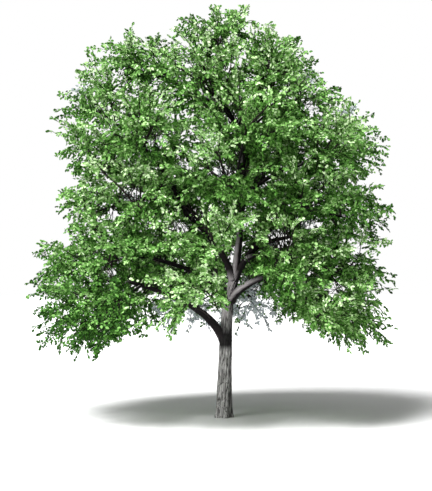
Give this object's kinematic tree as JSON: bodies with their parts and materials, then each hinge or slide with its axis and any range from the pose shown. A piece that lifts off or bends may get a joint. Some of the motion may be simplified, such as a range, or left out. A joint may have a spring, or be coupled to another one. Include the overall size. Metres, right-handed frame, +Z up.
{
  "type": "winged elm tree",
  "caption": "Winged elm in full leaf, with one leaning trunk, arching boughs and a broad domed crown of foliage masses.",
  "frame": {"origin": "middle of the flat cut under the trunk, at ground level", "axes": "+Z up, +X to the right as the tree is seen from the front, +Y towards its back"},
  "size_m": [13.2154, 12.157, 14.954],
  "materials": {
    "bark": "rough",
    "leaves": "matte"
  },
  "bodies": {
    "root": {"trunk": "bark", "centre_leader": "bark", "left_leader": "bark", "right_leader": "bark", "low_left": "bark", "low_right": "bark", "mid_left": "bark", "front_low": "bark", "back_low": "bark", "left_back": "bark", "right_back": "bark", "right_front": "bark", "right_rear": "bark", "left_rear": "bark", "upper_left": "bark", "front_high": "bark", "back_high": "bark", "upper_right": "bark", "crown_top": "bark", "foliage_centre_leader_1": "leaves", "foliage_centre_leader_2": "leaves", "foliage_centre_leader_3": "leaves", "foliage_left_leader_1": "leaves", "foliage_left_leader_2": "leaves", "foliage_left_leader_3": "leaves", "foliage_right_leader_1": "leaves", "foliage_right_leader_2": "leaves", "foliage_low_left_1": "leaves", "foliage_low_left_2": "leaves", "foliage_low_right_1": "leaves", "foliage_low_right_2": "leaves", "foliage_mid_left_1": "leaves", "foliage_mid_left_2": "leaves", "foliage_front_low_1": "leaves", "foliage_front_low_2": "leaves", "foliage_back_low_1": "leaves", "foliage_back_low_2": "leaves", "foliage_back_low_3": "leaves", "foliage_left_back_1": "leaves", "foliage_left_back_2": "leaves", "foliage_right_back_1": "leaves", "foliage_right_back_2": "leaves", "foliage_right_front_1": "leaves", "foliage_right_front_2": "leaves", "foliage_right_rear_1": "leaves", "foliage_right_rear_2": "leaves", "foliage_left_rear_1": "leaves", "foliage_left_rear_2": "leaves", "foliage_upper_left_1": "leaves", "foliage_upper_left_2": "leaves", "foliage_front_high_1": "leaves", "foliage_front_high_2": "leaves", "foliage_back_high_1": "leaves", "foliage_back_high_2": "leaves", "foliage_upper_right_1": "leaves", "foliage_upper_right_2": "leaves", "foliage_crown_top_1": "leaves", "foliage_crown_top_2": "leaves", "foliage_crown_top_3": "leaves", "foliage_crown_top_4": "leaves"}
  },
  "joints": []
}
